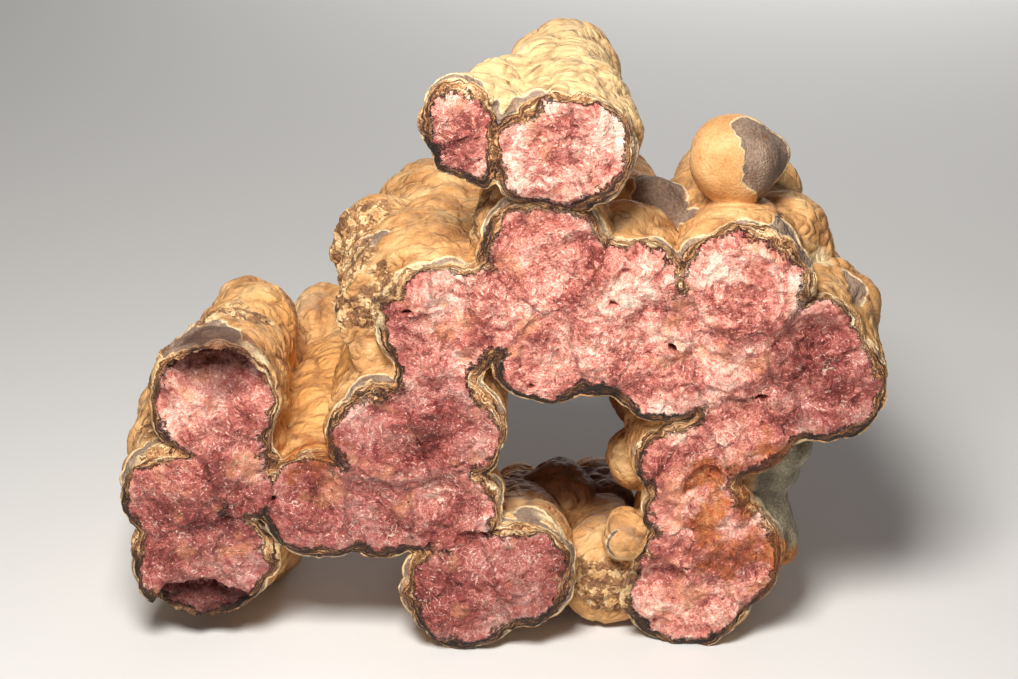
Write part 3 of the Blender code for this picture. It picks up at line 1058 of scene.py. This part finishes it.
def skin_colour(r, where, wobble):
    """The colour of the ochre skin, with thin brown lines in its creases that are partly its
    own colour and partly painted shade.
    """
    mottle = r.add(0.5, r.noise(where, 14, detail=2.0), r.noise(where, 0.9, 0.3))
    tan = r.ramp(mottle, {
        0.10: (180, 126, 74),
        0.45: (204, 152, 96),
        0.90: (222, 182, 128),
    })
    # Painted bounce light: warmer orange skin in the channel.
    tan = r.mix(r.times(r.trait("orange_bounce"), 0.6), tan, colour(226, 164, 90))
    tan = r.mix(r.times(r.trait("pale"), 0.7), tan, colour(228, 200, 150))
    # The brown lines in the creases and along the ripples' ledges: partly the skin's own colour,
    # partly painted crease shade.
    crease = r.fade(r.add(r.trait("border"), wobble), 0.9, 0.15)
    small_crease = r.fade(r.add(r.trait("edge"), wobble), 0.75, 0.0)
    phase = r.math("FRACT", r.add(r.trait("phase"), r.noise(where, 3, 0.10)))
    ledge = r.times(r.fade(phase, 0.86, 0.96), r.fade(phase, 1.0, 0.97), r.trait("rippled"))
    worn = r.fade(r.add(r.noise(where, 10), r.times(r.trait("orange_bounce"), 0.3)), -0.25, 0.4)
    line = r.math("MAXIMUM", crease, r.times(small_crease, 0.7))
    line = r.times(r.math("MAXIMUM", line, r.times(ledge, 0.7)), worn)
    tan = r.mix(r.times(line, 0.6), tan, colour(118, 72, 38))
    dirt = r.fade(r.add(r.noise(where, 9, detail=3.0), r.noise(where, 1.4, 0.3)), 0.18, 0.5)
    tan = r.mix(r.times(dirt, 0.36), tan, colour(150, 108, 72))
    grey = r.fade(r.add(r.noise(where, 16, detail=2.0), r.noise(where, 1.4, 0.2)), 0.26, 0.46)
    return r.mix(r.times(grey, 0.50), tan, colour(152, 128, 106))


def bare_colour(r, where):
    """The rough grey-brown layer under the skin."""
    mottle = r.add(0.5, r.noise(where, 7, 0.5, detail=2.0), r.noise(where, 0.9, 0.40))
    return r.ramp(mottle, {
        0.05: (98, 80, 68),
        0.40: (132, 108, 92),
        0.65: (152, 128, 110),
        0.95: (190, 162, 134),
    })


def rind_colour(r, deep, where, layers):
    """The rind, in thin layers that run along it, with painted light where it faces up or
    right and painted shade where it faces down or left."""
    painted_facing_light = r.add(r.trait("up"), r.times(r.trait("right"), 0.4), r.noise(where, 15))
    shade = r.add(
        0.38,
        r.times(painted_facing_light, 0.26),
        r.noise(where, 9.0, 0.70, fourth=r.times(deep, 1.5)),
        r.times(layers, 0.80),
        r.noise(where, 0.9, 0.20),
    )
    return r.ramp(shade, {
        0.00: (26, 14, 6),
        0.18: (60, 33, 14),
        0.34: (106, 66, 36),
        0.48: (150, 102, 64),
        0.62: (188, 134, 88),
        0.76: (216, 174, 126),
        1.00: (246, 226, 188),
    })


def scaly_colour(r, where):
    """The flaking brown crust."""
    scale = r.noise(r.bent(where, 1.6, 0.8), 3.6, detail=2.0)
    mixed = r.add(
        0.30,
        r.times(r.fade(scale, -0.06, 0.02), 0.45),
        r.noise(where, 7, 0.6, detail=2.0),
        r.noise(where, 0.9, 0.35),
    )
    scales = r.ramp(mixed, {
        0.08: (76, 50, 34),
        0.30: (128, 88, 58),
        0.52: (172, 124, 80),
        0.72: (204, 164, 112),
        0.95: (232, 208, 164),
    })
    gap = r.line(scale, 0.05)
    return r.mix(r.times(gap, 0.6), scales, colour(60, 38, 24))


def slab_colour(r, where):
    """The grey rock behind the right leg."""
    mottle = r.add(0.5, r.noise(where, 7, 0.7, detail=2.0), r.noise(where, 0.9, 0.4))
    return r.ramp(mottle, {
        0.1: (58, 54, 44),
        0.5: (116, 110, 94),
        0.9: (164, 158, 134),
    })


def rusted(r, where, surface):
    """The surface, with rust on it where it is stained."""
    stain = r.fade(r.add(r.trait("stain"), r.noise(where, 6, 1.1, detail=3.0)), 0.2, 0.9)
    surface = r.mix(r.times(stain, 0.95), surface, colour(204, 156, 98), blend="MULTIPLY")
    surface = r.mix(r.times(stain, 0.18), surface, colour(186, 108, 52))
    rust = r.fade(r.noise(r.bent(where, 5, 3.0), 3.2, detail=3.0, rough=0.65), 0.02, 0.3)
    return r.mix(r.times(rust, stain, 0.65), surface, colour(140, 76, 36))


def stone_material():
    r = Recipe("rhodochrosite_surface")
    place = r.node("ShaderNodeTexCoord", {}).outputs["Object"]
    where = r.vector("SCALE", place, scale=1 / MM)
    depth = r.trait("depth")
    broken = r.fade(depth, 0.04, 0.5)
    swell = r.fade(r.noise(where, 13, detail=2.0), -0.45, 0.55)
    thickness = r.add(0.42, r.times(swell, 1.25))
    wavy = r.add(r.noise(where, 4.0, 0.9), r.noise(where, 1.0, 0.3))
    deep = r.add(r.math("DIVIDE", depth, thickness), r.times(wavy, broken))
    layers = r.noise(where, 7.0, fourth=r.times(deep, 4.5))
    bare = r.trait("bare")
    skin = skin_colour(r, where, r.times(wavy, 0.35))
    surface = r.mix(r.fade(bare, 0.3, 0.6), skin, bare_colour(r, where))
    lip = r.times(r.fade(bare, 0.05, 0.3), r.fade(bare, 0.75, 0.4))
    cream = r.math("MAXIMUM", r.times(lip, 0.7), r.times(r.trait("cream"), 0.85))
    surface = r.mix(cream, surface, colour(236, 216, 174))
    surface = r.mix(r.fade(deep, 0.35, 0.55), surface, rind_colour(r, deep, where, layers))
    edge = r.times(r.fade(deep, 0.12, 0.3), r.fade(deep, 0.65, 0.4))
    # Partly painted light: the cream line where the rind meets the skin shows more where the rim
    # faces up.
    lit = r.add(r.noise(where, 10), r.times(r.trait("up"), 0.15))
    edge = r.times(edge, r.fade(lit, -0.1, 0.15))
    surface = r.mix(r.times(edge, 0.7), surface, colour(230, 202, 150))
    scaled = r.times(r.trait("crust"), r.fade(deep, 3.0, 2.0))
    surface = r.mix(r.times(scaled, 0.85), surface, scaly_colour(r, where))
    pink, pink_relief, own = pink_core(r, where, deep)
    core = r.fade(r.add(deep, r.noise(where, 1.2, 1.8, detail=2.0)), 2.5, 3.7)
    surface = rusted(r, where, r.mix(core, surface, pink))
    slabby = r.times(r.trait("slab"), r.fade(deep, 1.2, 0.6))
    surface = r.mix(r.times(slabby, 0.94), surface, slab_colour(r, where))
    # Painted shade: the surface is darkened where the painted shade spots lie.
    shade = r.times(r.trait("deep"), 0.9)
    surface = r.mix(shade, surface, colour(140, 108, 100), blend="MULTIPLY")
    r.put(r.shader.inputs["Base Color"], surface)
    glint = r.times(core, r.fade(own, 0.28, 0.30))
    dull = r.add(0.74, r.times(core, -0.22), r.times(glint, -0.32))
    r.put(r.shader.inputs["Roughness"], dull)
    fold = r.math("ABSOLUTE", r.noise(where, 4.0, detail=0.0))
    folds = r.times(fold, r.fade(r.trait("edge"), 4.5, 2.5), 1.2, r.less(slabby))
    pores = r.add(folds, r.noise(where, 0.8, 0.16))
    rough_rind = r.add(r.noise(where, 0.8, 0.4), r.times(layers, 0.7))
    rough = r.math("MAXIMUM", broken, r.times(scaled, 0.7))
    rough = r.math("MAXIMUM", rough, r.times(bare, 0.35))
    height = r.blend(core, r.blend(rough, pores, rough_rind), pink_relief)
    bump = r.node("ShaderNodeBump", {"Height": height, "Distance": MM, "Strength": 1.0})
    r.put(r.shader.inputs["Normal"], bump.outputs["Normal"])
    return r.material


def floor_material():
    r = Recipe("pale_floor")
    r.shader.inputs["Base Color"].default_value = colour(214, 214, 214)
    r.shader.inputs["Roughness"].default_value = 0.9
    r.shader.inputs["Specular IOR Level"].default_value = 0.2
    return r.material


def studio_floor():
    mesh = bpy.data.meshes.new("floor")
    plane = bmesh.new()
    bmesh.ops.create_grid(plane, x_segments=1, y_segments=1, size=4)
    plane.to_mesh(mesh)
    plane.free()
    mesh.materials.append(floor_material())
    floor = bpy.data.objects.new("floor", mesh)
    floor.location.z = -0.0003
    bpy.context.scene.collection.objects.link(floor)


def softbox(name, place, aim, size, power, warmth):
    light = bpy.data.lights.new(name, "AREA")
    light.shape = "SQUARE"
    light.size = size
    light.energy = power
    light.color = warmth
    lamp = bpy.data.objects.new(name, light)
    lamp.location = place
    way = Vector(aim) - Vector(place)
    lamp.rotation_euler = way.to_track_quat("-Z", "Y").to_euler()
    bpy.context.scene.collection.objects.link(lamp)


def studio_light():
    softbox("key", (-0.1, -0.42, 0.64), (0, -0.03, 0.13), 0.24, 8.0, (1.0, 0.96, 0.90))
    softbox("fill", (-0.1, -1.1, 0.3), (0, 0, 0.1), 0.6, 1.2, (1.0, 0.98, 0.96))
    softbox("back", (0.2, 1.0, 0.3), (0, 0.05, 0.1), 0.6, 4.0, (1.0, 0.98, 0.96))
    world = bpy.data.worlds.new("studio")
    world.use_nodes = True
    background = world.node_tree.nodes["Background"]
    background.inputs["Color"].default_value = (0.84, 0.84, 0.86, 1)
    background.inputs["Strength"].default_value = 0.07
    bpy.context.scene.world = world


def photo_camera():
    """The camera of the photograph: it looks down by TILT from DISTANCE away."""
    tilt = np.radians(TILT)
    ahead = Vector((0, np.cos(tilt), -np.sin(tilt)))
    upward = Vector((0, np.sin(tilt), np.cos(tilt)))
    right = Vector((1, 0, 0))
    aim = Vector((-MIDDLE_X, -MIDDLE_Y, AIM_HEIGHT)) * MM
    camera = bpy.data.cameras.new("photo_camera")
    camera.sensor_width = SENSOR
    camera.lens = SENSOR * DISTANCE / (PHOTO_WIDTH * MM_PER_PIXEL)
    camera.clip_start = 0.01
    holder = bpy.data.objects.new("photo_camera", camera)
    turn = Matrix((right, upward, -ahead)).transposed().to_4x4()
    holder.matrix_world = Matrix.Translation(aim - ahead * DISTANCE * MM) @ turn
    bpy.context.scene.collection.objects.link(holder)
    bpy.context.scene.camera = holder


def main():
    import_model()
    cad_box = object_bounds()
    stone = stone_object(*cad_box)
    stone.data.materials.clear()
    stone.data.materials.append(stone_material())
    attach(stone, "root")
    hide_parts("stalactite_cluster")
    studio_floor()
    studio_light()
    photo_camera()
    bpy.context.scene.view_settings.view_transform = "Standard"


main()
